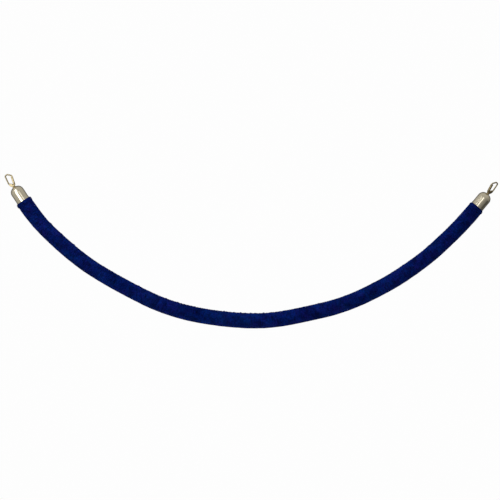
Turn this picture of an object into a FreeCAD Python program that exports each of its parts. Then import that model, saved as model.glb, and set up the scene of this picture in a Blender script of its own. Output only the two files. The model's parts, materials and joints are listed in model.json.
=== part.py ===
"""Velvet barrier rope with a domed metal cap and a swivelling snap hook on each end.

The rope hangs in the XZ plane, +Z up, with X from the left end to the right end.
The origin is the seat of the left hook: the point inside its loop that bears the load.

Each end is built in a frame of its own and then placed:
    z  along the cap's axis, 0 at the cap's open rim, positive towards the hook
    x  towards the hook's gate
    y  square to the plane of the hook's loop
"""
import FreeCAD, Part
import math
import os
import re
import Sketcher
from FreeCAD import Placement, Rotation, Vector

# Driving dimensions in millimetres. Heights along an end are measured from the cap's rim.
SIZES = {
    # the rope
    "sleeve_radius": 19.0,
    "sleeve_wall": 1.3,
    "core_radius": 17.4,
    "core_bore_radius": 4.5,
    "cord_radius": 4.0,
    # where the two hooks are hung, and how far each seat stands above its cap's rim
    "right_seat_x": 1239.0,
    "right_seat_z": -19.5,
    "seat_height": 75.4,
    # velvet hem at the mouth of each cap
    "hem_length": 9.0,
    "hem_bore_radius": 14.3,
    "hem_gap": 0.3,
    "mouth_radius": 16.9,
    "shoulder_radius": 19.2,
    "shoulder_drop": 2.9,
    "ridge_radius": 20.3,
    "ridge_drop": 6.4,
    "tuck_radius": 15.6,
    "tuck_length": 18.0,
    # domed cap
    "cap_radius": 17.3,
    "cap_wall": 1.2,
    "cap_height": 40.7,
    "dome_start": 25.9,
    "dome_round": 15.0,
    "apex_wall": 1.7,
    "bead_radius": 17.8,
    "bead_height": 2.2,
    "bead_round": 0.4,
    # turned plug inside the cap and the rope's end
    "plug_radius": 14.0,
    "plug_top": 24.0,
    "plug_bore_radius": 4.3,
    "plug_chamfer": 1.2,
    # screws that hold the cap to the plug
    "screw_height": 10.0,
    "screw_radius": 1.1,
    "screw_length": 8.0,
    "screw_hole_radius": 1.2,
    "screw_head_radius": 2.3,
    "screw_head_height": 1.2,
    "screw_slot_width": 0.6,
    "screw_slot_depth": 0.5,
    "screw_spread": 80.0,
    # crimped ferrule that stops the load cord
    "ferrule_radius": 6.2,
    "ferrule_bore_radius": 4.05,
    "ferrule_base": 24.2,
    "ferrule_length": 8.0,
    "ferrule_waist_radius": 5.6,
    "cord_end": 33.0,
    # swivel: washer and nut on the hook's shank inside the dome
    "washer_radius": 4.3,
    "washer_bore_radius": 2.7,
    "washer_base": 38.1,
    "washer_thickness": 0.8,
    "nut_flats": 7.0,
    "nut_base": 35.0,
    "nut_height": 3.0,
    # hook
    "shank_radius": 2.5,
    "shank_clearance": 0.05,
    "shank_end": 34.2,
    "collar_gap": 0.1,
    "collar_radius": 4.4,
    "collar_waist_radius": 3.7,
    "collar_height": 3.6,
    "wire_radius": 1.8,
    "hook_thickness": 4.6,
    "lug_low": 0.1,
    "lug_high": 1.5,
    "recess_radius": 2.6,
    "tongue_thickness": 2.0,
    "tongue_top": 68.4,
    # gate
    "pivot_x": 4.7,
    "pivot_z": 48.0,
    "gate_lean": 14.5,
    "gate_length": 19.6,
    "gate_half_depth": 2.2,
    "gate_thickness": 5.6,
    "fork_width": 3.5,
    "fork_depth": 3.0,
    "spring_pocket_top": 9.0,
    "web_thickness": 0.65,
    "notch_width": 2.5,
    "notch_foot": 15.2,
    "notch_floor": -1.15,
    "gate_edge_round": 0.6,
    # gate pivot pin and spring
    "pin_radius": 1.0,
    "pin_clearance": 0.06,
    "pin_head_radius": 1.7,
    "pin_head_height": 0.5,
    "pin_half_length": 2.85,
    "spring_wire_radius": 0.22,
    "spring_coil_radius": 1.32,
    "spring_pitch": 0.5,
    "spring_low": -1.45,
    "spring_long_leg": 7.5,
    "spring_short_leg": 1.8,
}

# The rope's line in the XZ plane between the two caps, as the corners that its bends round off.
# The first and last of these lie on the axes of the two caps.
ROUTE = [
    (68.7, -103.6), (123.5, -160.5), (204.5, -228), (298.5, -282.5), (385.5, -326), (463.5, -349.5),
    (545.5, -362.5), (621, -368.5), (689, -364), (765, -348.5), (841.5, -330.5), (919, -298),
    (995.5, -255.5), (1067, -204), (1119.5, -155), (1159, -115),
]

# The wire of a hook in its own xz plane: from the base, up the back, over the top and down to the nose.
HOOK_LINE = [(-2.0, 46.5), (-7.6, 54.6), (-4.4, 77.2), (2.8, 77.2), (10.9, 69.0), (9.85, 64.9)]
HOOK_BENDS = [4.5, 4.0, 3.6, 2.6]

# Side view of the hook's base, between the collar and the throat.
BASE_OUTLINE = [
    (-4.2, 43.6), (4.0, 43.6), (6.2, 45.4), (6.9, 47.0), (6.9, 48.6), (6.1, 49.8), (4.8, 50.2),
    (3.6, 49.9), (2.8, 48.8), (1.8, 47.9), (0.6, 49.6), (-0.8, 51.4), (-2.8, 53.0), (-5.6, 55.0),
    (-8.6, 52.8), (-8.2, 50.4), (-6.6, 46.8),
]
BASE_EDGE_ROUND = 0.8

# How far each hook stands turned about its cap's axis.
TURNS = {"left": -15.0, "right": 225.0}

# A bend's arc takes this share of the shorter of its two runs.
BEND_SHARE = 0.45

SIDES = ("left", "right")
SCREWS_PER_CAP = 2
SPRING_TURNS = 2.25

Y_AXIS = Vector(0, 1, 0)
Z_AXIS = Vector(0, 0, 1)


# ---------------------------------------------------------------- helpers

def make_sheet(doc):
    sheet = doc.addObject("Spreadsheet::Sheet", "Sizes")
    for row, (alias, value) in enumerate(SIZES.items(), start=1):
        sheet.set(f"A{row}", alias)
        sheet.set(f"B{row}", str(value))
        sheet.setAlias(f"B{row}", alias)
    doc.recompute()
    return sheet


def bound(text):
    """An expression in the sheet's words, written the way FreeCAD reads it."""
    return re.sub(r"[a-z_]+", lambda m: f"Sizes.{m.group()}" if m.group() in SIZES else m.group(), text)


def value_of(item, text):
    return float(item.evalExpression(bound(text)))


def size(doc, alias):
    return float(getattr(doc.Sizes, alias))


def new_body(doc, label):
    body = doc.addObject("PartDesign::Body", label)
    body.Label = label
    return body


def new_sketch(body, name, plane="XZ_Plane"):
    sketch = body.newObject("Sketcher::SketchObject", name)
    origin_plane = next(item for item in body.Origin.OriginFeatures if item.Role == plane)
    sketch.AttachmentSupport = [(origin_plane, "")]
    sketch.MapMode = "FlatFace"
    return sketch


def tie(sketch, kind, axis, geometry, end, text):
    """Hold one coordinate of a corner to an expression."""
    value = value_of(sketch, text)
    if abs(value) < 1e-9:
        sketch.addConstraint(Sketcher.Constraint("PointOnObject", geometry, end, axis))
        return
    if value > 0:
        constraint = Sketcher.Constraint(kind, -1, 1, geometry, end, value)
    else:
        constraint = Sketcher.Constraint(kind, geometry, end, -1, 1, -value)
        text = f"-({text})"
    index = sketch.addConstraint(constraint)
    sketch.setExpression(f"Constraints[{index}]", bound(text))


def arc_between(start, end, radius):
    """The shorter arc that turns left from start to end."""
    chord = end - start
    rise = radius - math.sqrt(max(radius ** 2 - (chord.Length / 2) ** 2, 0))
    outward = Vector(chord.y, -chord.x, 0).normalize()
    return Part.Arc(start, (start + end) * 0.5 + outward * rise, end)


def outline(sketch, corners):
    """A closed outline through corners (x, y), (x, y, radius) or (x, y, radius, "right"), in expressions.

    A radius makes the edge that leaves its corner an arc, which turns left unless it says right.
    """
    points = [Vector(value_of(sketch, c[0]), value_of(sketch, c[1]), 0) for c in corners]
    tips = []
    for number, corner in enumerate(corners):
        start, end = points[number], points[(number + 1) % len(points)]
        if len(corner) == 2:
            sketch.addGeometry(Part.LineSegment(start, end))
            tips.append((1, 2))
        elif len(corner) == 3:
            sketch.addGeometry(arc_between(start, end, value_of(sketch, corner[2])))
            tips.append((1, 2))
        else:
            sketch.addGeometry(arc_between(end, start, value_of(sketch, corner[2])))
            tips.append((2, 1))
    for number, corner in enumerate(corners):
        after = (number + 1) % len(corners)
        meet = Sketcher.Constraint("Coincident", number, tips[number][1], after, tips[after][0])
        sketch.addConstraint(meet)
        tie(sketch, "DistanceX", -2, number, tips[number][0], corner[0])
        tie(sketch, "DistanceY", -1, number, tips[number][0], corner[1])
        if len(corner) > 2:
            radius = value_of(sketch, corner[2])
            index = sketch.addConstraint(Sketcher.Constraint("Radius", number, radius))
            sketch.setExpression(f"Constraints[{index}]", bound(corner[2]))


def circle(sketch, x, y, radius):
    centre = Vector(value_of(sketch, x), value_of(sketch, y), 0)
    number = sketch.addGeometry(Part.Circle(centre, Z_AXIS, value_of(sketch, radius)))
    tie(sketch, "DistanceX", -2, number, 3, x)
    tie(sketch, "DistanceY", -1, number, 3, y)
    index = sketch.addConstraint(Sketcher.Constraint("Radius", number, value_of(sketch, radius)))
    sketch.setExpression(f"Constraints[{index}]", bound(radius))


def revolve(body, name, corners):
    """A turned shape: the outline's x is the radius and its y the height on the body's Z axis."""
    sketch = new_sketch(body, f"{name}_profile")
    outline(sketch, corners)
    feature = body.newObject("PartDesign::Revolution", name)
    feature.Profile = sketch
    feature.ReferenceAxis = (sketch, ["V_Axis"])
    feature.Angle = 360.0
    return feature


def extrude(body, name, kind, sketch, length, both_ways=True):
    """A pad or pocket of the sketch, by default half of it to each side of the sketch's plane."""
    feature = body.newObject(f"PartDesign::{kind}", name)
    feature.Profile = sketch
    feature.setExpression("Length", bound(length))
    if both_ways:
        feature.SideType = "Symmetric"
    return feature


def cylinder(doc, name, radius, height, at=("0", "0", "0"), along=Z_AXIS):
    item = doc.addObject("Part::Cylinder", name)
    item.Placement = Placement(Vector(), Rotation(Z_AXIS, along))
    item.setExpression("Radius", bound(radius))
    item.setExpression("Height", bound(height))
    for axis, text in zip("xyz", at):
        item.setExpression(f"Placement.Base.{axis}", bound(text))
    return item


def box(doc, name, lengths, at):
    item = doc.addObject("Part::Box", name)
    for side, text in zip(("Length", "Width", "Height"), lengths):
        item.setExpression(side, bound(text))
    for axis, text in zip("xyz", at):
        item.setExpression(f"Placement.Base.{axis}", bound(text))
    return item


def rounded_line(points, radii):
    """A wire of straight runs with a tangent arc of the given radius at each inner corner."""
    edges = []
    start = points[0]
    for before, corner, after, radius in zip(points, points[1:], points[2:], radii):
        back = (before - corner).normalize()
        ahead = (after - corner).normalize()
        half_angle = back.getAngle(ahead) / 2
        reach = radius / math.tan(half_angle)
        middle = (back + ahead).normalize()
        inset = radius / math.sin(half_angle) - radius
        enter, leave = corner + back * reach, corner + ahead * reach
        edges.append(Part.LineSegment(start, enter).toShape())
        edges.append(Part.Arc(enter, corner + middle * inset, leave).toShape())
        start = leave
    edges.append(Part.LineSegment(start, points[-1]).toShape())
    return Part.Wire(edges)


def path_feature(doc, name, wire):
    path = doc.addObject("Part::Feature", name)
    path.Shape = wire
    return path


def sweep(doc, name, path, start, direction, radius):
    """A round bar along a path that starts at start in the given direction."""
    section = doc.addObject("Part::Circle", f"{name}_section")
    section.Placement = Placement(start, Rotation(Z_AXIS, direction))
    section.setExpression("Radius", bound(radius))
    item = doc.addObject("Part::Sweep", name)
    item.Sections = [section]
    item.Spine = (path, [f"Edge{number + 1}" for number in range(len(path.Shape.Edges))])
    item.Solid = True
    item.Frenet = False
    return item


def cut(doc, label, base, tool):
    item = doc.addObject("Part::Cut", label)
    item.Label = label
    item.Base = base
    item.Tool = tool
    return item


def fuse(doc, name, shapes):
    item = doc.addObject("Part::MultiFuse", name)
    item.Shapes = shapes
    return item


# ---------------------------------------------------------------- where the two ends stand

def seat(doc, side):
    if side == "left":
        return Vector()
    return Vector(size(doc, "right_seat_x"), 0, size(doc, "right_seat_z"))


def first_bend(side):
    x, z = ROUTE[0] if side == "left" else ROUTE[-1]
    return Vector(x, 0, z)


def axis_of(doc, side):
    """From the rope out through the cap: each hook's seat is in line with the rope's first bend."""
    return (seat(doc, side) - first_bend(side)).normalize()


def end_frame(doc, side):
    """Places an end on its cap's axis, with z = 0 at the cap's rim."""
    axis = axis_of(doc, side)
    lean = math.degrees(math.atan2(axis.x, axis.z))
    return Placement(seat(doc, side) - axis * size(doc, "seat_height"), Rotation(Y_AXIS, lean))


def hook_frame(doc, side):
    """The end's frame, turned about the cap's axis as far as the hook stands turned."""
    return end_frame(doc, side) * Placement(Vector(), Rotation(Z_AXIS, TURNS[side]))


def gate_frame(doc, side):
    """Origin at the gate's pivot, z along the gate, x outwards, y along the pin."""
    pivot = Vector(size(doc, "pivot_x"), 0, size(doc, "pivot_z"))
    return hook_frame(doc, side) * Placement(pivot, Rotation(Y_AXIS, size(doc, "gate_lean")))


# ---------------------------------------------------------------- the rope

def rope_line(doc, beyond_rim):
    """The rope's centre line, ended this far beyond the two caps' rims (negative: short of them)."""
    reach = size(doc, "seat_height") - beyond_rim
    ends = [seat(doc, side) - axis_of(doc, side) * reach for side in ("left", "right")]
    corners = [Vector(x, 0, z) for x, z in ROUTE]
    points = [ends[0]] + corners + [ends[1]]
    radii = []
    for before, corner, after in zip(points, points[1:], points[2:]):
        turn = (corner - before).getAngle(after - corner)
        shorter = min((corner - before).Length, (after - corner).Length)
        radii.append(BEND_SHARE * shorter / math.tan(turn / 2))
    return points, radii


def rope_tube(doc, label, radius, bore_radius, beyond_rim, hand_radii):
    """A tube along the rope's line, hollow where it has a bore."""
    points, _ = rope_line(doc, beyond_rim)
    path = path_feature(doc, f"{label}_line", rounded_line(points, hand_radii))
    direction = points[1] - points[0]
    outer = sweep(doc, f"{label}_outside", path, points[0], direction, radius)
    if bore_radius is None:
        outer.Label = label
        return outer
    inner = sweep(doc, f"{label}_bore", path, points[0], direction, bore_radius)
    return cut(doc, label, outer, inner)


def rope(doc):
    """Velvet sleeve, foam core and load cord, all on one line."""
    butt = -(size(doc, "hem_length") + size(doc, "hem_gap"))
    _, radii = rope_line(doc, butt)
    print("bend radii of the rope, mm:", [round(radius) for radius in radii])
    sleeve = rope_tube(doc, "velvet_sleeve", "sleeve_radius", "sleeve_radius - sleeve_wall", butt, radii)
    core = rope_tube(doc, "foam_core", "core_radius", "core_bore_radius", butt, radii)
    cord = rope_tube(doc, "load_cord", "cord_radius", None, size(doc, "cord_end"), radii)
    return [sleeve, core, cord]


# ---------------------------------------------------------------- what each cap holds

def hem(doc, side):
    """Folded end of the velvet: a soft ring against the rim, with a tuck that goes up inside the cap."""
    body = new_body(doc, f"{side}_hem")
    revolve(body, "Ring", [
        ("hem_bore_radius", "-hem_length"),
        ("sleeve_radius", "-hem_length"),
        ("ridge_radius", "-ridge_drop", "2.6"),
        ("shoulder_radius", "-shoulder_drop", "4.6"),
        ("mouth_radius", "-hem_gap"),
        ("tuck_radius", "-hem_gap"),
        ("tuck_radius", "tuck_length"),
        ("hem_bore_radius", "tuck_length"),
    ])
    body.Placement = end_frame(doc, side)
    return body


def end_plug(doc, side):
    """Turned wooden plug with a hole down the middle for the load cord."""
    body = new_body(doc, f"{side}_end_plug")
    revolve(body, "Turning", [
        ("plug_bore_radius", "-hem_length"),
        ("plug_radius - plug_chamfer", "-hem_length"),
        ("plug_radius", "plug_chamfer - hem_length"),
        ("plug_radius", "plug_top - plug_chamfer"),
        ("plug_radius - plug_chamfer", "plug_top"),
        ("plug_bore_radius", "plug_top"),
    ])
    body.Placement = end_frame(doc, side)
    return body


def cord_ferrule(doc, side):
    """Metal sleeve crimped on the load cord above the plug, with two crimped waists."""
    body = new_body(doc, f"{side}_cord_ferrule")
    top = "ferrule_base + ferrule_length"
    revolve(body, "Tube", [
        ("ferrule_bore_radius", "ferrule_base"),
        ("ferrule_radius", "ferrule_base"),
        ("ferrule_radius", "ferrule_base + 0.15 * ferrule_length"),
        ("ferrule_waist_radius", "ferrule_base + 0.25 * ferrule_length"),
        ("ferrule_waist_radius", "ferrule_base + 0.35 * ferrule_length"),
        ("ferrule_radius", "ferrule_base + 0.45 * ferrule_length"),
        ("ferrule_radius", "ferrule_base + 0.55 * ferrule_length"),
        ("ferrule_waist_radius", "ferrule_base + 0.65 * ferrule_length"),
        ("ferrule_waist_radius", "ferrule_base + 0.75 * ferrule_length"),
        ("ferrule_radius", "ferrule_base + 0.85 * ferrule_length"),
        ("ferrule_radius", top),
        ("ferrule_bore_radius", top),
    ])
    body.Placement = end_frame(doc, side)
    return body


def cap(doc, side):
    """Spun dome cap: a thin shell with a rolled rim, a flat apex with the shank's hole, and screw holes."""
    body = new_body(doc, f"{side}_cap")
    centre = "cap_radius - dome_round"
    inner_round = "dome_round - cap_wall"
    outer_rise = "cap_height - dome_start"
    inner_rise = "cap_height - apex_wall - dome_start"
    outer_flat = f"{centre} + sqrt(dome_round^2 - ({outer_rise})^2)"
    inner_flat = f"{centre} + sqrt(({inner_round})^2 - ({inner_rise})^2)"
    shell = revolve(body, "Shell", [
        ("cap_radius - cap_wall", "0"),
        ("bead_radius", "0"),
        ("bead_radius", "bead_height"),
        ("cap_radius", "bead_height"),
        ("cap_radius", "dome_start", "dome_round"),
        (outer_flat, "cap_height"),
        ("shank_radius + shank_clearance", "cap_height"),
        ("shank_radius + shank_clearance", "cap_height - apex_wall"),
        (inner_flat, "cap_height - apex_wall", inner_round, "right"),
        ("cap_radius - cap_wall", "dome_start"),
    ])
    doc.recompute()
    rim = body.newObject("PartDesign::Fillet", "RolledRim")
    rim.Base = (shell, ring_edges(shell, size(doc, "bead_radius")))
    rim.setExpression("Radius", bound("bead_round"))
    sketch = new_sketch(body, "ScrewHoleCentre")
    circle(sketch, "0", "screw_height", "screw_hole_radius")
    hole = extrude(body, "ScrewHole", "Pocket", sketch, "cap_radius + bead_height", both_ways=False)
    doc.recompute()
    pattern = body.newObject("PartDesign::PolarPattern", "ScrewHoles")
    pattern.Originals = [hole]
    pattern.Axis = (sketch, ["V_Axis"])
    pattern.setExpression("Angle", bound("screw_spread"))
    pattern.Occurrences = SCREWS_PER_CAP
    body.Tip = pattern
    body.Placement = end_frame(doc, side) * back_turn(doc)
    return body


def ring_edges(feature, radius):
    """Names of the circular edges of this radius."""
    return [
        f"Edge{number}"
        for number, edge in enumerate(feature.Shape.Edges, start=1)
        if isinstance(edge.Curve, Part.Circle) and abs(edge.Curve.Radius - radius) < 1e-4
    ]


def back_turn(doc):
    """Puts the screws' spread evenly about the back of the rope."""
    return Placement(Vector(), Rotation(Z_AXIS, -size(doc, "screw_spread") / 2))


def screw(doc, name):
    """Small round-headed screw with a straight slot: z along the screw, 0 under its head."""
    body = new_body(doc, name)
    revolve(body, "Turning", [
        ("0", "-screw_length"),
        ("screw_radius", "2 * screw_radius - screw_length"),
        ("screw_radius", "0"),
        ("screw_head_radius", "0", "screw_head_radius + screw_head_height"),
        ("0", "screw_head_height"),
    ])
    sketch = new_sketch(body, "SlotOutline")
    half = "screw_slot_width / 2"
    outline(sketch, [
        (f"-{half}", "screw_head_height - screw_slot_depth"),
        (half, "screw_head_height - screw_slot_depth"),
        (half, "2 * screw_head_height"),
        (f"-{half}", "2 * screw_head_height"),
    ])
    extrude(body, "Slot", "Pocket", sketch, "3 * screw_head_radius")
    return body


def cap_screws(doc, side):
    """The screws of one cap, side by side round its back."""
    step = size(doc, "screw_spread") / (SCREWS_PER_CAP - 1)
    frame = end_frame(doc, side) * back_turn(doc)
    foot = Vector(0, size(doc, "cap_radius"), size(doc, "screw_height"))
    outwards = Placement(foot, Rotation(Z_AXIS, Y_AXIS))
    screws = []
    for number in range(SCREWS_PER_CAP):
        item = screw(doc, f"{side}_screw_{number + 1}")
        item.Placement = frame * Placement(Vector(), Rotation(Z_AXIS, number * step)) * outwards
        screws.append(item)
    group = doc.addObject("Part::Compound", f"{side}_cap_screws")
    group.Label = f"{side}_cap_screws"
    group.Links = screws
    return group


# ---------------------------------------------------------------- swivel

def swivel_washer(doc, side):
    body = new_body(doc, f"{side}_swivel_washer")
    revolve(body, "Ring", [
        ("washer_bore_radius", "washer_base"),
        ("washer_radius", "washer_base"),
        ("washer_radius", "washer_base + washer_thickness"),
        ("washer_bore_radius", "washer_base + washer_thickness"),
    ])
    body.Placement = hook_frame(doc, side)
    return body


def swivel_nut(doc, side):
    """Hexagonal nut on the end of the hook's shank."""
    body = new_body(doc, f"{side}_swivel_nut")
    sketch = new_sketch(body, "Hexagon", "XY_Plane")
    sketch.setExpression("AttachmentOffset.Base.z", bound("nut_base"))
    corner, side_half = "nut_flats / sqrt(3)", "nut_flats / sqrt(12)"
    outline(sketch, [
        (corner, "0"),
        (side_half, "nut_flats / 2"),
        (f"-{side_half}", "nut_flats / 2"),
        (f"-{corner}", "0"),
        (f"-{side_half}", "-nut_flats / 2"),
        (side_half, "-nut_flats / 2"),
    ])
    circle(sketch, "0", "0", "shank_radius")
    extrude(body, "Nut", "Pad", sketch, "nut_height", both_ways=False)
    body.Placement = hook_frame(doc, side)
    return body


# ---------------------------------------------------------------- hook

def shank(doc, side):
    """Turned stem of the hook: the shank through the cap's apex and the waisted collar above it."""
    body = new_body(doc, f"{side}_hook_shank")
    seat_face = "cap_height + collar_gap"
    revolve(body, "Stem", [
        ("0", "shank_end"),
        ("shank_radius", "shank_end"),
        ("shank_radius", seat_face),
        ("collar_radius", seat_face),
        ("collar_radius", f"{seat_face} + 0.25 * collar_height"),
        ("collar_waist_radius", f"{seat_face} + 0.45 * collar_height"),
        ("collar_waist_radius", f"{seat_face} + 0.65 * collar_height"),
        ("collar_radius", f"{seat_face} + 0.85 * collar_height"),
        ("collar_radius", f"{seat_face} + collar_height"),
        ("0", f"{seat_face} + 1.2 * collar_height"),
    ])
    return body


def hook_wire(doc, side):
    """The round bar of the loop."""
    points = [Vector(x, 0, z) for x, z in HOOK_LINE]
    line = path_feature(doc, f"{side}_hook_line", rounded_line(points, HOOK_BENDS))
    return sweep(doc, f"{side}_hook_wire", line, points[0], points[1] - points[0], "wire_radius")


def hook_base(doc, side):
    """The flat-sided foot of the loop, which carries the lug for the gate."""
    corners = [Vector(x, 0, z) for x, z in BASE_OUTLINE]
    face = path_feature(doc, f"{side}_base_face", Part.Face(Part.makePolygon(corners + corners[:1])))
    block = doc.addObject("Part::Extrusion", f"{side}_base_block")
    block.Base = face
    block.DirMode = "Custom"
    block.Dir = Y_AXIS
    block.Solid = True
    block.Symmetric = True
    block.setExpression("LengthFwd", bound("hook_thickness"))
    doc.recompute()
    rounded = doc.addObject("Part::Fillet", f"{side}_hook_base")
    rounded.Base = block
    rounded.Edges = [
        (number, BASE_EDGE_ROUND, BASE_EDGE_ROUND) for number in range(1, len(block.Shape.Edges) + 1)
    ]
    return rounded


def hook_cutters(doc, side):
    """What is cut away: the nose's tongue on both sides, room for the gate's fork, and the pin's hole."""
    half = "tongue_thickness / 2"
    low = "tongue_top - 8"
    lengths = ("12", "wire_radius", "8")
    tools = [
        box(doc, f"{side}_tongue_back", lengths, ("pivot_x", half, low)),
        box(doc, f"{side}_tongue_front", lengths, ("pivot_x", f"-wire_radius - {half}", low)),
        cylinder(doc, f"{side}_recess_back", "recess_radius", "hook_thickness",
                 ("pivot_x", "lug_high", "pivot_z"), Y_AXIS),
        cylinder(doc, f"{side}_recess_front", "recess_radius", "hook_thickness",
                 ("pivot_x", "lug_low - hook_thickness", "pivot_z"), Y_AXIS),
        cylinder(doc, f"{side}_pin_hole", "pin_radius", "2 * hook_thickness",
                 ("pivot_x", "-hook_thickness", "pivot_z"), Y_AXIS),
    ]
    return fuse(doc, f"{side}_hook_cutters", tools)


def hook(doc, side):
    """Cast snap-hook body: shank, collar, foot with the gate's lug, back, top and nose."""
    solid = fuse(doc, f"{side}_hook_solid", [shank(doc, side), hook_base(doc, side), hook_wire(doc, side)])
    body = cut(doc, f"{side}_hook", solid, hook_cutters(doc, side))
    body.Placement = hook_frame(doc, side)
    return body


# ---------------------------------------------------------------- gate

def gate(doc, side):
    """The bar that closes the loop: forked at its foot, hollow for the spring, notched for the nose."""
    body = new_body(doc, f"{side}_gate")
    half, past = "gate_half_depth", "(gate_half_depth + 0.5)"
    sketch = new_sketch(body, "SideView")
    outline(sketch, [
        (f"-{half}", "0", half),
        ("0", f"-{half}", half),
        (half, "0"),
        (half, "gate_length - 0.9"),
        (f"{half} - 0.9", "gate_length"),
        (f"0.9 - {half}", "gate_length"),
        (f"-{half}", "gate_length - 0.9"),
    ])
    bar = extrude(body, "Bar", "Pad", sketch, "gate_thickness")
    doc.recompute()
    edges = body.newObject("PartDesign::Fillet", "SoftEdges")
    edges.Base = (bar, flat_faces(bar, Y_AXIS))
    edges.setExpression("Radius", bound("gate_edge_round"))
    fork = new_sketch(body, "ForkOutline")
    outline(fork, [
        (f"-{past}", f"-{past}"),
        (past, f"-{past}"),
        (past, "fork_depth"),
        (f"{half} - web_thickness", "fork_depth"),
        (f"{half} - web_thickness", "spring_pocket_top"),
        (f"-{past}", "spring_pocket_top"),
    ])
    extrude(body, "Fork", "Pocket", fork, "fork_width")
    notch = new_sketch(body, "NotchOutline")
    outline(notch, [
        ("notch_floor", "notch_foot"),
        (past, "notch_foot"),
        (past, "gate_length + 0.5"),
        ("notch_floor", "gate_length + 0.5"),
    ])
    extrude(body, "Notch", "Pocket", notch, "notch_width")
    bore = new_sketch(body, "PinBoreCentre")
    circle(bore, "0", "0", "pin_radius + pin_clearance")
    extrude(body, "PinBore", "Pocket", bore, "2 * gate_thickness")
    body.Placement = gate_frame(doc, side)
    return body


def flat_faces(feature, normal):
    """Names of the flat faces that are square to a direction."""
    return [
        f"Face{number}"
        for number, face in enumerate(feature.Shape.Faces, start=1)
        if isinstance(face.Surface, Part.Plane) and abs(abs(face.Surface.Axis * normal) - 1) < 1e-6
    ]


def gate_pin(doc, side):
    """Rivet through the gate's fork and the hook's lug, with a low head on each end."""
    body = new_body(doc, f"{side}_gate_pin")
    end, top = "pin_half_length", "pin_half_length + pin_head_height"
    revolve(body, "Rivet", [
        ("0", f"-({top})"),
        ("0.7 * pin_head_radius", f"-({top})"),
        ("pin_head_radius", f"-({end})"),
        ("pin_radius", f"-({end})"),
        ("pin_radius", end),
        ("pin_head_radius", end),
        ("0.7 * pin_head_radius", top),
        ("0", top),
    ])
    body.Placement = gate_frame(doc, side) * Placement(Vector(), Rotation(Z_AXIS, Y_AXIS))
    return body


def gate_spring(doc, side):
    """Torsion spring round the pin: a long leg up inside the gate and a short one under the pin."""
    radius, pitch = size(doc, "spring_coil_radius"), size(doc, "spring_pitch")
    rise = SPRING_TURNS * pitch
    coil = Part.makeHelix(pitch, rise, radius)
    short_leg = Part.LineSegment(Vector(radius, -size(doc, "spring_short_leg"), 0), Vector(radius, 0, 0))
    tip = Vector(0, radius, rise)
    long_leg = Part.LineSegment(tip, tip - Vector(size(doc, "spring_long_leg"), 0, 0))
    line = Part.Wire([short_leg.toShape()] + coil.Edges + [long_leg.toShape()])
    section = Part.Wire([Part.makeCircle(size(doc, "spring_wire_radius"), short_leg.StartPoint, Y_AXIS)])
    item = doc.addObject("Part::Feature", f"{side}_gate_spring")
    item.Label = f"{side}_gate_spring"
    item.Shape = line.makePipeShell([section], True, False)
    # the coil's axis lies along the pin, with the long leg (-x) up the gate and the coil's +y side outwards
    onto_pin = FreeCAD.Matrix(0, 1, 0, 0, 0, 0, -1, size(doc, "spring_low") + rise, -1, 0, 0, 0)
    item.Placement = gate_frame(doc, side) * Placement(onto_pin)
    return item


# ---------------------------------------------------------------- the whole

def check(doc, parts):
    """Stops before anything is written if a feature failed or a sub-part is not a sound solid."""
    failed = [item.Label for item in doc.Objects if "Invalid" in item.State or "Error" in item.State]
    unsound = [
        item.Label for item in parts
        if item.Shape.isNull() or not item.Shape.isValid() or not item.Shape.Solids
    ]
    if failed or unsound:
        raise RuntimeError(f"failed features: {failed}; unsound sub-parts: {unsound}")


def report_rope(doc, parts):
    """Compares each tube's volume with its section times its length."""
    sleeve_bore = size(doc, "sleeve_radius") - size(doc, "sleeve_wall")
    sections = {
        "velvet_sleeve": (size(doc, "sleeve_radius"), sleeve_bore),
        "foam_core": (size(doc, "core_radius"), size(doc, "core_bore_radius")),
        "load_cord": (size(doc, "cord_radius"), 0.0),
    }
    for part in parts:
        if part.Label in sections:
            length = doc.getObject(f"{part.Label}_line").Shape.Length
            outer, inner = sections[part.Label]
            share = part.Shape.Volume / (math.pi * (outer ** 2 - inner ** 2) * length)
            print(f"{part.Label}: length {length:.1f} mm, volume / expected {share:.4f}")


def main():
    doc = FreeCAD.newDocument("VelvetBarrierRope")
    make_sheet(doc)
    parts = rope(doc)
    per_end = [
        hem, end_plug, cord_ferrule, cap, cap_screws, swivel_washer, swivel_nut,
        hook, gate, gate_pin, gate_spring,
    ]
    for side in SIDES:
        for build in per_end:
            parts.append(build(doc, side))
    doc.recompute()
    check(doc, parts)
    report_rope(doc, parts)
    os.makedirs("parts", exist_ok=True)
    for part in parts:
        part.Shape.exportStep(f"parts/{part.Label}.step")
    print(f"{len(parts)} sub-parts written")


main()
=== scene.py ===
"""Velvet barrier rope: the cloth, finishes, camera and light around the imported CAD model."""
import json
import math

import bpy
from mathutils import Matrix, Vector, noise


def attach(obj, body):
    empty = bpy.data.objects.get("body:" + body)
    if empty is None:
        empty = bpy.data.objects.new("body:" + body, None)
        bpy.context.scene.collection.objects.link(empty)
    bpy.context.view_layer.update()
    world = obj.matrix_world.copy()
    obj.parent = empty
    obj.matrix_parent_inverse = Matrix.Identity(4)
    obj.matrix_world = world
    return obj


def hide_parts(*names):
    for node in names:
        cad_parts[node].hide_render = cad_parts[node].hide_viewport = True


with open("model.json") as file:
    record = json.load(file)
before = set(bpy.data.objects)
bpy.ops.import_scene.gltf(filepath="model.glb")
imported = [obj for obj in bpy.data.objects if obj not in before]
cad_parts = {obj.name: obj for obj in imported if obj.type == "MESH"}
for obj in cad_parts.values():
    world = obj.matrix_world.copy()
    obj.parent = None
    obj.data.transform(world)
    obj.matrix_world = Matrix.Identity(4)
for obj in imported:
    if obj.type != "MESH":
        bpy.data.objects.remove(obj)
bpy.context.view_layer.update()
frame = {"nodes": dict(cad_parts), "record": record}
nodes = frame["nodes"]
mounts = {mount["name"]: mount for mount in frame["record"]["mounts"]}

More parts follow.
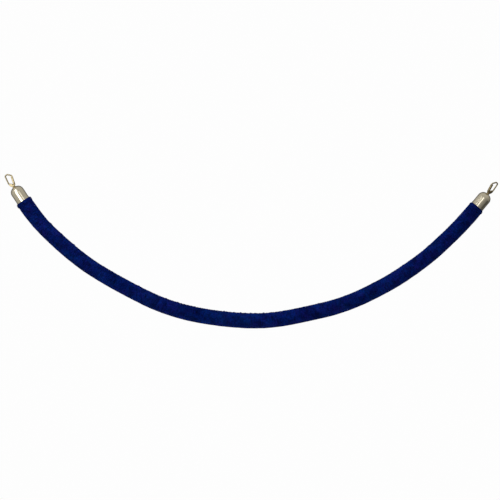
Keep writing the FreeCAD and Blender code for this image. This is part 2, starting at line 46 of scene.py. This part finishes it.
MM = 0.001
TURN = 2 * math.pi
# The way the camera looks. The rope's line lies in one plane, square to it.
VIEW_AXIS = Vector((0, 1, 0))

# ---------------------------------------------------------------- camera

FRAME_WIDTH = 1.265
FRAME_CENTRE = Vector((0.6155, 0.0, -0.1878))
CAMERA_DISTANCE = 3.0


def add_camera():
    data = bpy.data.cameras.new("camera")
    data.type = "ORTHO"
    data.ortho_scale = FRAME_WIDTH
    camera = bpy.data.objects.new("camera", data)
    camera.location = FRAME_CENTRE - VIEW_AXIS * CAMERA_DISTANCE
    camera.rotation_euler = (TURN / 4, 0, 0)
    bpy.context.scene.collection.objects.link(camera)
    bpy.context.scene.camera = camera


add_camera()

# ---------------------------------------------------------------- the rope's line

# Corners of the route between the two caps, in millimetres in the XZ plane, as in the CAD.
ROUTE = [
    (68.7, -103.6), (123.5, -160.5), (204.5, -228), (298.5, -282.5), (385.5, -326),
    (463.5, -349.5), (545.5, -362.5), (621, -368.5), (689, -364), (765, -348.5),
    (841.5, -330.5), (919, -298), (995.5, -255.5), (1067, -204), (1119.5, -155),
    (1159, -115),
]
CURVE_ORDER = 3
STEPS_PER_CORNER = 64
SEAT_TO_RIM = 75.4 * MM
RIM_TO_SLEEVE = 9.3 * MM
SLEEVE_DIAMETER = 0.038


class End:
    """One end of the rope: its axis from the rope out through the cap, and the cap's rim."""

    def __init__(self, side):
        mount = mounts[f"{side}_hook_seat"]
        self.side = side
        self.axis = Vector(mount["axis"]).normalized()
        self.rim = Vector(mount["pos_m"]) - self.axis * SEAT_TO_RIM
        self.sleeve = self.rim - self.axis * RIM_TO_SLEEVE


ends = {side: End(side) for side in ("left", "right")}


def route_points():
    """Points along one smooth line that has the route's corners as its control points."""
    corners = [ends["left"].sleeve]
    corners += [Vector((x * MM, 0, z * MM)) for x, z in ROUTE]
    corners.append(ends["right"].sleeve)
    curve = bpy.data.curves.new("route", "CURVE")
    curve.dimensions = "3D"
    spline = curve.splines.new("NURBS")
    spline.points.add(len(corners) - 1)
    for point, corner in zip(spline.points, corners):
        point.co = (*corner, 1)
    spline.order_u = CURVE_ORDER
    spline.use_endpoint_u = True
    spline.resolution_u = STEPS_PER_CORNER
    holder = bpy.data.objects.new("route", curve)
    mesh = bpy.data.meshes.new_from_object(holder)
    points = [vertex.co.copy() for vertex in mesh.vertices]
    bpy.data.objects.remove(holder)
    bpy.data.curves.remove(curve)
    bpy.data.meshes.remove(mesh)
    return points


line = route_points()
along = [0.0]
for before, after in zip(line, line[1:]):
    along.append(along[-1] + (after - before).length)
total = along[-1]

# ---------------------------------------------------------------- helpers for the cloth

CLOTH_MAP = "cloth"


def upwards(direction):
    """Square to a direction in the rope's plane, on the upper side."""
    up = VIEW_AXIS.cross(direction).normalized()
    return -up if up.z < 0 else up


def outwards(up, angle):
    """Out from the rope's line. angle is 0 at the top of the rope and grows to the front."""
    return up * math.cos(angle) - VIEW_AXIS * math.sin(angle)


def wrapped(angle):
    """The same angle between minus half a turn and half a turn."""
    return (angle + math.pi) % TURN - math.pi


def blend(value, low, high):
    """0 below low, 1 above high, smooth between them."""
    t = min(max((value - low) / (high - low), 0.0), 1.0)
    return t * t * (3 - 2 * t)


def bell(distance):
    """1 at no distance, and nearly nothing at two."""
    return math.exp(-distance ** 2)


def smooth_noise(x, y, z):
    return noise.noise(Vector((x, y, z)))


def tube_faces(rings, segments):
    """The faces between rings of points, each ring with the same number of them."""
    faces = []
    for ring in range(rings - 1):
        here, there = ring * segments, (ring + 1) * segments
        for number in range(segments):
            ahead = (number + 1) % segments
            faces.append((here + number, here + ahead, there + ahead, there + number))
    return faces


def make_object(name, verts, faces, body, uv):
    mesh = bpy.data.meshes.new(name)
    mesh.from_pydata(verts, [], faces)
    mesh.polygons.foreach_set("use_smooth", [True] * len(mesh.polygons))
    layer = mesh.uv_layers.new(name=CLOTH_MAP)
    for loop in mesh.loops:
        layer.data[loop.index].uv = uv[loop.vertex_index]
    mesh.update()
    obj = bpy.data.objects.new(name, mesh)
    bpy.context.scene.collection.objects.link(obj)
    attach(obj, body)
    return obj


# ---------------------------------------------------------------- velvet sleeve

RADIUS = SLEEVE_DIAMETER / 2
PILE = 0.5 * MM
SEGMENTS = 92
SEAM_CROWDING = 0.6

# Padding that isn't quite even, dents and rises of the cloth, and its small ripples: how high
# each stands, how fast it changes along the rope and round it, and what sets it apart.
UNEVENNESS = [
    (0.38 * MM, 17, 0.7, (0, 0, 0)),
    (0.30 * MM, 62, 1.9, (9, 4, 0)),
    (0.13 * MM, 210, 4.5, (31, 0, 7)),
]
# A slight oval, how far it is tilted, and how far it turns in a metre.
OVAL_HEIGHT = 0.22 * MM
OVAL_TILT, OVAL_TWIST = 0.5, 1.7

# Where the seam starts, in degrees from the top towards the front. Then how far it drifts to
# the back, between which two shares of the rope's length.
SEAM_START = 34
SEAM_DRIFTS = [(30, 0.12, 0.45), (22, 0.6, 1.0)]
STITCH_PITCH = 6.2 * MM
GROOVE_DEPTH = 0.75 * MM
GROOVE_WIDTH = 0.75 * MM
LIP_HEIGHT = 0.30 * MM
LIP_PLACE = 2.1 * MM
LIP_WIDTH = 1.3 * MM
# How much of the groove's depth and of the lips' height changes at the stitches.
GROOVE_PUCKER, LIP_PUCKER = 0.25, 0.55

# Gathers across the inside of the bend: how far they waver, and their least strength and
# what is added to it in places, with how often both of those change in a metre.
WRINKLE_HEIGHT = 0.16 * MM
WRINKLE_PITCH = 8.6 * MM
WAVER, WAVER_RATE = 2.4, 34
STRENGTH_LEAST, STRENGTH_MORE, STRENGTH_RATE = 0.35, 2.2, 9

# Where the seam's gathers stand up along the top of the rope: how far in X, in millimetres,
# and how high.
TUFTS = [
    (99, 1.1), (126, 0.8), (158, 1.2), (183, 0.5), (237, 0.6), (326, 1.0), (353, 0.5),
    (397, 1.1), (427, 1.2), (471, 0.5), (549, 1.0), (573, 0.6), (590, 1.2), (603, 1.0),
    (617, 1.1), (629, 0.9), (651, 1.1), (671, 0.9), (706, 0.5), (793, 0.6), (862, 0.5),
    (935, 0.6), (1013, 0.5), (1079, 0.6),
]
TUFT_SPREAD = 2.6
TUFT_REACH = 3
# A tuft is longer round the rope than along it.
TUFT_NARROWING = 0.6

# The ends: pleats where the sleeve goes into a hem, the last of it drawn in, and the left end
# a little fuller on its upper side.
GATHER_HEIGHT = 0.26 * MM
GATHER_PLEATS = 17
GATHER_WANDER, GATHER_RATE = 5, 22
GATHER_FROM, GATHER_TO = 2 * MM, 42 * MM
DRAWN_IN = 0.45 * MM
DRAWN_LENGTH = 14 * MM
FULLNESS = 1.1 * MM
FULLNESS_FROM, FULLNESS_TO = 8 * MM, 75 * MM


def seam_angle(s):
    """Where the seam runs: near the top of the front at the left, then over to the back."""
    share = s / total
    drift = sum(degrees * blend(share, start, stop) for degrees, start, stop in SEAM_DRIFTS)
    return math.radians(SEAM_START - drift)


def sleeve_radius(s, x, angle, off_seam):
    """From the rope's line to the velvet, at a length s along it and an angle round it."""
    round_x, round_y = math.cos(angle), math.sin(angle)
    radius = RADIUS + PILE
    for height, lengthways, around, (shift_s, shift_x, shift_y) in UNEVENNESS:
        radius += height * smooth_noise(
            s * lengthways + shift_s, round_x * around + shift_x, round_y * around + shift_y
        )
    radius += OVAL_HEIGHT * math.cos(2 * (angle - OVAL_TILT - s * OVAL_TWIST))

    inner = max(round_x, 0.0) ** 1.5
    waver = WAVER * smooth_noise(s * WAVER_RATE, round_y * 1.1, 3.0)
    wrinkle = math.sin(s * TURN / WRINKLE_PITCH + waver)
    strength = STRENGTH_LEAST + STRENGTH_MORE * abs(smooth_noise(s * STRENGTH_RATE, 5.0, 1.0))
    radius += WRINKLE_HEIGHT * inner * wrinkle * strength

    # a stitched groove between two lips that pucker at the stitches
    across = off_seam * RADIUS
    stitch = math.cos(s * TURN / STITCH_PITCH)
    radius -= GROOVE_DEPTH * bell(across / GROOVE_WIDTH) * (1 - GROOVE_PUCKER * (1 - stitch))
    lip = bell((abs(across) - LIP_PLACE) / LIP_WIDTH)
    radius += LIP_HEIGHT * lip * (1 + LIP_PUCKER * stitch)

    for place, height in TUFTS:
        sideways = angle * RADIUS / MM * TUFT_NARROWING
        away = math.hypot(x / MM - place, sideways) / TUFT_SPREAD
        if away < TUFT_REACH:
            radius += height * MM * bell(away)

    near_end = min(s, total - s)
    gather = 1 - blend(near_end, GATHER_FROM, GATHER_TO)
    wander = GATHER_WANDER * smooth_noise(s * GATHER_RATE, round_x, round_y)
    radius += GATHER_HEIGHT * gather * math.sin(GATHER_PLEATS * angle + wander)
    radius -= DRAWN_IN * (1 - blend(near_end, 0.0, DRAWN_LENGTH))
    radius += FULLNESS * inner * (1 - blend(s, FULLNESS_FROM, FULLNESS_TO))
    return radius


def crowded(number):
    """Angles round the sleeve from the seam, closer together near the seam."""
    turn = TURN * number / SEGMENTS
    return turn - SEAM_CROWDING * math.sin(turn)


def make_sleeve():
    verts, uv = [], []
    rings = len(line)
    for index, (point, s) in enumerate(zip(line, along)):
        before, after = line[max(index - 1, 0)], line[min(index + 1, rings - 1)]
        up = upwards((after - before).normalized())
        seam = seam_angle(s)
        for number in range(SEGMENTS):
            turn = crowded(number)
            angle = seam + turn
            off_seam = wrapped(turn)
            radius = sleeve_radius(s, point.x, wrapped(angle), off_seam)
            verts.append(point + outwards(up, angle) * radius)
            uv.append((s, off_seam * RADIUS))
    faces = tube_faces(rings, SEGMENTS)
    faces.append(tuple(reversed(range(SEGMENTS))))
    faces.append(tuple((rings - 1) * SEGMENTS + number for number in range(SEGMENTS)))
    return make_object("velvet_rope", verts, faces, "rope", uv)


sleeve = make_sleeve()
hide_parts("velvet_sleeve", "foam_core", "load_cord")

# ---------------------------------------------------------------- velvet hems

HEM_SEGMENTS = 168
HEM_CLOTH = 0.6 * MM
HEM_UNEVENNESS = 0.35
BROAD_PLEATS, FINE_PLEATS = 19, 43
BROAD_SHARE, FINE_SHARE = 0.65, 0.35
# What sets the pleats of one hem apart from those of the other.
HEM_SHIFT = {"left": 2.0, "right": 11.0}
# (height above the cap's rim, radius, depth of the gathers), in millimetres, from inside the
# cap to under the fold
HEM_INSIDE = [(3.0, 15.0, 0.0), (1.2, 15.4, 0.0), (0.1, 15.6, 0.0)]
HEM_PROFILES = {
    "left": HEM_INSIDE + [
        (-0.4, 16.3, 0.1), (-0.6, 17.3, 0.2), (-0.9, 18.3, 0.3), (-1.5, 19.2, 0.4),
        (-2.5, 19.9, 0.42), (-3.6, 20.2, 0.36), (-4.8, 20.3, 0.3), (-6.2, 20.35, 0.26),
        (-7.6, 20.3, 0.26), (-8.8, 20.1, 0.3), (-9.7, 19.7, 0.32), (-10.4, 19.35, 0.3),
        (-10.8, 18.9, 0.2), (-10.9, 18.3, 0.1), (-10.6, 17.4, 0.0), (-9.5, 16.9, 0.0),
    ],
    "right": HEM_INSIDE + [
        (-0.4, 16.1, 0.1), (-0.8, 16.9, 0.2), (-1.4, 17.7, 0.3), (-2.3, 18.4, 0.38),
        (-3.3, 18.9, 0.4), (-4.4, 19.3, 0.36), (-5.6, 19.55, 0.3), (-6.8, 19.65, 0.26),
        (-7.9, 19.7, 0.24), (-8.9, 19.6, 0.24), (-9.7, 19.35, 0.26), (-10.3, 19.15, 0.24),
        (-10.7, 18.8, 0.2), (-10.8, 18.3, 0.1), (-10.5, 17.4, 0.0), (-9.5, 16.9, 0.0),
    ],
}
# angle in degrees from the top towards the front, then height, rise and spread in
# millimetres: turned-up spots of the fold
HEM_BUMPS = {
    "left": [(6, -9.6, 1.0, 2.6), (-10, -3.4, 0.7, 3.0), (176, -8.2, 0.8, 3.6)],
    "right": [(14, -4.6, 0.4, 4.0), (178, -5.6, 1.0, 3.4)],
}


def hem_gather(angle, height, shift):
    """Uneven pleats round the hem, from -1 to 1: broad ones, and finer ones across them."""
    round_x, round_y = math.cos(angle) * 1.6 + shift, math.sin(angle) * 1.6
    wander = 1.3 * smooth_noise(round_x, round_y, height * 0.08)
    broad = math.sin(BROAD_PLEATS * angle + 4 * wander)
    fine = math.sin(FINE_PLEATS * angle + 7 * wander + 0.3 * height)
    return BROAD_SHARE * broad + FINE_SHARE * fine


def hem_radius(side, angle, height, base, depth):
    """From the cap's axis to the hem, in millimetres. The cloth is smooth where depth is 0."""
    if not depth:
        return base
    shift = HEM_SHIFT[side]
    round_x, round_y = math.cos(angle) * 2.2 + shift, math.sin(angle) * 2.2
    radius = base + depth * hem_gather(angle, height, shift)
    radius += HEM_UNEVENNESS * smooth_noise(round_x, round_y, height * 0.3)
    for degrees, level, rise, spread in HEM_BUMPS[side]:
        gap = wrapped(angle - math.radians(degrees))
        radius += rise * bell(math.hypot(gap * base, height - level) / spread)
    return radius


def make_hem(end):
    up = upwards(end.axis)
    verts, uv = [], []
    travelled = 0.0
    profile = HEM_PROFILES[end.side]
    last_height, last_base, _ = profile[0]
    for height, base, depth in profile:
        travelled += math.hypot(height - last_height, base - last_base)
        last_height, last_base = height, base
        for number in range(HEM_SEGMENTS):
            angle = TURN * number / HEM_SEGMENTS
            radius = hem_radius(end.side, angle, height, base, depth)
            centre = end.rim + end.axis * height * MM
            verts.append(centre + outwards(up, angle) * radius * MM)
            uv.append((travelled * MM, angle * RADIUS))
    # Wound the other way from the sleeve. The faces look inwards at the left end, where the
    # cloth's thickness is added outside the profile, and outwards at the right, where it is inside.
    faces = [(a, d, c, b) for a, b, c, d in tube_faces(len(profile), HEM_SEGMENTS)]
    hem = make_object(f"{end.side}_velvet_hem", verts, faces, "rope", uv)
    shell = hem.modifiers.new("thickness", "SOLIDIFY")
    shell.thickness = HEM_CLOTH
    shell.offset = -1
    smooth = hem.modifiers.new("smooth", "SUBSURF")
    smooth.levels = smooth.render_levels = 1
    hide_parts(f"{end.side}_hem")
    return hem


hems = [make_hem(end) for end in ends.values()]

# ---------------------------------------------------------------- materials

# Sockets of the Mix node when it mixes colours; their names aren't unique.
MIX_FACTOR, MIX_FIRST, MIX_SECOND, MIX_RESULT = 0, 6, 7, 2


def set_stops(ramp, stops, tint=(1.0, 1.0, 1.0)):
    """Give a colour ramp its stops, each a position and a colour or a level of grey."""
    while len(ramp.elements) < len(stops):
        ramp.elements.new(0.5)
    for element, (position, colour) in zip(ramp.elements, stops):
        if not isinstance(colour, tuple):
            colour = tuple(colour * channel for channel in tint)
        element.position = position
        element.color = (*colour, 1)


class Shader:
    """A material with a Principled surface, and short ways to add nodes to it."""

    def __init__(self, name, **sockets):
        self.material = bpy.data.materials.new(name)
        self.material.use_nodes = True
        self.tree = self.material.node_tree
        self.surface = next(n for n in self.tree.nodes if n.type == "BSDF_PRINCIPLED")
        for socket, value in sockets.items():
            self.surface.inputs[socket.replace("_", " ")].default_value = value
        self.place = self.node("ShaderNodeTexCoord").outputs["Object"]

    def node(self, kind, **settings):
        item = self.tree.nodes.new(kind)
        for key, value in settings.items():
            setattr(item, key, value)
        return item

    def link(self, source, target):
        self.tree.links.new(source, target)

    def stretched(self, scale, source=None):
        mapping = self.node("ShaderNodeMapping")
        mapping.inputs["Scale"].default_value = scale
        self.link(source or self.place, mapping.inputs["Vector"])
        return mapping.outputs["Vector"]

    def cloth_place(self, scale):
        """Place on the cloth in metres: x along the rope and y round it."""
        source = self.node("ShaderNodeUVMap", uv_map=CLOTH_MAP).outputs["UV"]
        return self.stretched(scale, source)

    def noise(self, scale, detail=3.0, rough=0.5, warp=0.0, place=None):
        item = self.node("ShaderNodeTexNoise")
        item.inputs["Scale"].default_value = scale
        item.inputs["Detail"].default_value = detail
        item.inputs["Roughness"].default_value = rough
        item.inputs["Distortion"].default_value = warp
        self.link(place or self.place, item.inputs["Vector"])
        return item.outputs["Fac"]

    def ramp(self, source, stops):
        item = self.node("ShaderNodeValToRGB")
        set_stops(item.color_ramp, stops)
        self.link(source, item.inputs["Fac"])
        return item.outputs["Color"]

    def mix(self, factor, first, second, how="MIX"):
        item = self.node("ShaderNodeMix", data_type="RGBA", blend_type=how)
        for value, socket in ((factor, MIX_FACTOR), (first, MIX_FIRST), (second, MIX_SECOND)):
            if isinstance(value, bpy.types.NodeSocket):
                self.link(value, item.inputs[socket])
            else:
                item.inputs[socket].default_value = value
        return item.outputs[MIX_RESULT]

    def bump(self, height, strength, distance):
        """Add relief on top of whatever relief is there already."""
        item = self.node("ShaderNodeBump")
        item.inputs["Strength"].default_value = strength
        item.inputs["Distance"].default_value = distance
        self.link(height, item.inputs["Height"])
        previous = self.surface.inputs["Normal"]
        if previous.is_linked:
            self.link(previous.links[0].from_socket, item.inputs["Normal"])
        self.link(item.outputs["Normal"], self.surface.inputs["Normal"])

    def colour(self, source):
        self.link(source, self.surface.inputs["Base Color"])

    def roughness(self, source):
        self.link(source, self.surface.inputs["Roughness"])


def velvet_material():
    """Short dense pile: patches of nap lying different ways, fine tufts, and a cool sheen."""
    shader = Shader(
        "velvet",
        Roughness=1.0,
        Specular_IOR_Level=0.02,
        Sheen_Weight=0.12,
        Sheen_Roughness=0.5,
        Sheen_Tint=(0.03, 0.10, 0.62, 1.0),
    )
    patches = shader.noise(26.0, detail=3.0, rough=0.6, warp=0.6)
    nap_place = shader.cloth_place((52.0, 60.0, 1.0))
    nap = shader.noise(1.0, detail=3.0, rough=0.62, warp=0.5, place=nap_place)
    tuft_place = shader.cloth_place((260.0, 260.0, 1.0))
    tufts = shader.noise(1.0, detail=2.0, rough=0.75, place=tuft_place)
    streak_place = shader.cloth_place((330.0, 70.0, 1.0))
    streaks = shader.noise(1.0, detail=2.0, rough=0.6, warp=0.3, place=streak_place)
    pile = shader.noise(1500.0, detail=3.0, rough=0.7)
    royal = shader.ramp(patches, [
        (0.36, (0.0003, 0.0053, 0.075)),
        (0.50, (0.0004, 0.0081, 0.102)),
        (0.66, (0.0006, 0.0128, 0.136)),
    ])
    violet = shader.noise(24.0, detail=6.0, rough=0.8)
    teal_place = shader.stretched((1.0, 1.3, 0.8))
    teal = shader.noise(20.0, detail=6.0, rough=0.8, place=teal_place)
    colour = royal
    for pattern, stops, tint in (
        (violet, [(0.46, 0.0), (0.66, 0.55)], (0.0110, 0.0068, 0.136, 1)),
        (teal, [(0.50, 0.0), (0.70, 0.55)], (0.0010, 0.0230, 0.140, 1)),
    ):
        colour = shader.mix(shader.ramp(pattern, stops), colour, tint)
    for pattern, stops in (
        (nap, [(0.34, 0.50), (0.52, 0.95), (0.66, 1.0)]),
        (streaks, [(0.34, 0.48), (0.54, 1.03)]),
        (tufts, [(0.30, 0.42), (0.58, 1.0)]),
        (pile, [(0.34, 0.58), (0.60, 1.24)]),
    ):
        colour = shader.mix(1.0, colour, shader.ramp(pattern, stops), "MULTIPLY")
    shader.colour(colour)
    shader.bump(nap, 0.5, 0.0020)
    shader.bump(tufts, 0.7, 0.0012)
    shader.bump(pile, 0.8, 0.0008)
    return shader.material


def plated_metal(name, colour, dark, rough, wear_scale=160.0):
    """Polished plate: slow changes of tone, fine rubbing marks, and duller handled patches."""
    shader = Shader(name, Metallic=1.0, Roughness=rough)
    tone = shader.noise(34.0, detail=3.0)
    tint = shader.mix(shader.ramp(tone, [(0.35, 0.0), (0.75, 0.55)]), (*colour, 1), (*dark, 1))
    specks = shader.ramp(shader.noise(wear_scale * 5, detail=2.0), [(0.66, 0.0), (0.76, 0.35)])
    shader.colour(shader.mix(specks, tint, (*dark, 1)))
    handled = shader.noise(wear_scale, detail=4.0, rough=0.65)
    shader.roughness(shader.ramp(handled, [
        (0.30, rough * 0.85), (0.62, rough * 1.1), (0.80, rough * 1.5),
    ]))
    shader.bump(shader.noise(60.0, detail=1.0), 0.05, 0.0004)
    shader.bump(shader.noise(1100.0, detail=1.0), 0.03, 0.0001)
    return shader.material


def plain_metal(name, colour, rough):
    """Bare drawn or turned metal, a little mottled."""
    shader = Shader(name, Metallic=1.0, Roughness=rough)
    tone = shader.noise(220.0, detail=3.0)
    dull = tuple(channel * 0.72 for channel in colour)
    shader.colour(shader.mix(tone, (*colour, 1), (*dull, 1)))
    shader.roughness(shader.ramp(tone, [(0.3, rough * 0.8), (0.7, rough * 1.3)]))
    shader.bump(shader.noise(1400.0, detail=2.0), 0.15, 0.0002)
    return shader.material


def wood_material():
    """Pale wood with its grain running upright."""
    shader = Shader("turned_wood", Roughness=0.6)
    grain_place = shader.stretched((420.0, 420.0, 38.0))
    grain = shader.noise(1.0, detail=4.0, rough=0.6, warp=0.8, place=grain_place)
    shader.colour(shader.ramp(grain, [
        (0.25, (0.34, 0.20, 0.09)), (0.55, (0.55, 0.37, 0.20)), (0.8, (0.66, 0.48, 0.29)),
    ]))
    shader.bump(grain, 0.3, 0.0004)
    return shader.material


velvet = velvet_material()
for piece in [sleeve, *hems]:
    piece.data.materials.append(velvet)

finishes = {
    "cap": plated_metal("cap_plate", (0.80, 0.745, 0.60), (0.67, 0.60, 0.45), 0.22),
    "hook": plated_metal("hook_plate", (0.46, 0.385, 0.23), (0.30, 0.235, 0.11), 0.34, 260.0),
    "gate": plated_metal("gate_plate", (0.42, 0.35, 0.21), (0.28, 0.215, 0.10), 0.34, 240.0),
    "cap_screws": plated_metal("screw_plate", (0.72, 0.64, 0.46), (0.45, 0.38, 0.24), 0.24),
    "gate_pin": plain_metal("pin_metal", (0.30, 0.22, 0.11), 0.35),
    "gate_spring": plain_metal("spring_wire", (0.58, 0.58, 0.57), 0.25),
    "swivel_washer": plain_metal("washer_metal", (0.62, 0.62, 0.63), 0.35),
    "swivel_nut": plain_metal("nut_metal", (0.58, 0.58, 0.60), 0.33),
    "cord_ferrule": plain_metal("ferrule_metal", (0.75, 0.75, 0.76), 0.4),
    "end_plug": wood_material(),
}
for name, node in nodes.items():
    # the metal and wooden pieces are named by side and then kind, such as left_gate_pin
    finish = finishes.get(name.split("_", 1)[1])
    if finish is not None and node.data.materials:
        for slot in node.material_slots:
            slot.material = finish

# ---------------------------------------------------------------- floor and light

FLOOR_HEIGHT = -0.95
FLOOR_REACH = 6.0
FLOOR_GREY = 0.93
BACKDROP_GREY = 0.985

# name, place, aimed at, width, height, power in watts, and whether the metal reflects it
SOFTBOXES = [
    ("key", (-0.84, -2.4, 0.0), (0.3, 0, -0.2), 1.2, 2.1, 24, True),
    ("corner", (-0.9, -0.85, 0.80), (0, 0, -0.05), 0.75, 0.85, 4, True),
    ("strip", (1.0, -2.4, 0.22), (1.2, 0, -0.1), 0.5, 1.0, 2.6, True),
    ("top", (0.6, -0.6, 2.2), (0.6, 0, -0.2), 2.4, 1.0, 42, False),
]

# The room that the metal reflects. Each list says how bright it is, from the side facing away
# from a direction to the side facing it, and the two are multiplied.
ROOM_TINT = (1.0, 0.985, 0.95)
ABOVE, ABOVE_STOPS = (-0.55, 0.0, 0.80), [
    (0.0, 0.06), (0.03, 0.08), (0.08, 0.24), (0.20, 0.31), (0.48, 0.52), (0.62, 0.56),
    (1.0, 0.56),
]
FRONT, FRONT_STOPS = (0, -1, 0), [
    (0.0, 0.03), (0.10, 0.14), (0.26, 0.75), (0.55, 0.95), (1.0, 0.8),
]


def add_floor():
    mesh = bpy.data.meshes.new("floor")
    near, far = -FLOOR_REACH, FLOOR_REACH
    corners = [(near, near), (far, near), (far, far), (near, far)]
    mesh.from_pydata([(x, y, FLOOR_HEIGHT) for x, y in corners], [], [(0, 1, 2, 3)])
    floor = bpy.data.objects.new("floor", mesh)
    bpy.context.scene.collection.objects.link(floor)
    shader = Shader("floor", Base_Color=(FLOOR_GREY, FLOOR_GREY, FLOOR_GREY, 1), Roughness=0.9)
    mesh.materials.append(shader.material)
    floor.visible_glossy = False


def add_softbox(name, place, towards, width, height, power, mirrored):
    data = bpy.data.lights.new(name, "AREA")
    data.shape = "RECTANGLE"
    data.size, data.size_y = width, height
    data.energy = power
    light = bpy.data.objects.new(name, data)
    light.location = place
    aim = Vector(towards) - Vector(place)
    light.rotation_euler = aim.to_track_quat("-Z", "Y").to_euler()
    light.visible_camera = False
    light.visible_glossy = mirrored
    bpy.context.scene.collection.objects.link(light)


def add_world():
    """Plain white behind the object, and for its reflections a pale room, dim far behind."""
    world = bpy.data.worlds.new("studio")
    bpy.context.scene.world = world
    world.use_nodes = True
    tree = world.node_tree
    room = next(n for n in tree.nodes if n.type == "BACKGROUND")
    output = next(n for n in tree.nodes if n.type == "OUTPUT_WORLD")
    direction = tree.nodes.new("ShaderNodeTexCoord").outputs["Generated"]

    def level(towards, stops):
        """How bright the room is by how far a direction leans towards this one."""
        lean = tree.nodes.new("ShaderNodeVectorMath")
        lean.operation = "DOT_PRODUCT"
        lean.inputs[1].default_value = Vector(towards).normalized()
        tree.links.new(direction, lean.inputs[0])
        spread = tree.nodes.new("ShaderNodeMapRange")
        spread.inputs["From Min"].default_value = -1.0
        tree.links.new(lean.outputs["Value"], spread.inputs["Value"])
        ramp = tree.nodes.new("ShaderNodeValToRGB")
        set_stops(ramp.color_ramp, stops, ROOM_TINT)
        tree.links.new(spread.outputs["Result"], ramp.inputs["Fac"])
        return ramp.outputs["Color"]

    both = tree.nodes.new("ShaderNodeMix")
    both.data_type = "RGBA"
    both.blend_type = "MULTIPLY"
    both.inputs[MIX_FACTOR].default_value = 1.0
    tree.links.new(level(ABOVE, ABOVE_STOPS), both.inputs[MIX_FIRST])
    tree.links.new(level(FRONT, FRONT_STOPS), both.inputs[MIX_SECOND])
    tree.links.new(both.outputs[MIX_RESULT], room.inputs["Color"])
    plain = tree.nodes.new("ShaderNodeBackground")
    plain.inputs["Color"].default_value = (BACKDROP_GREY, BACKDROP_GREY, BACKDROP_GREY, 1)
    seen = tree.nodes.new("ShaderNodeLightPath").outputs["Is Camera Ray"]
    mix = tree.nodes.new("ShaderNodeMixShader")
    reflected, behind = mix.inputs[1], mix.inputs[2]
    tree.links.new(seen, mix.inputs["Fac"])
    tree.links.new(room.outputs["Background"], reflected)
    tree.links.new(plain.outputs["Background"], behind)
    tree.links.new(mix.outputs["Shader"], output.inputs["Surface"])


add_floor()
add_world()
for softbox in SOFTBOXES:
    add_softbox(*softbox)
bpy.context.scene.view_settings.view_transform = "Standard"
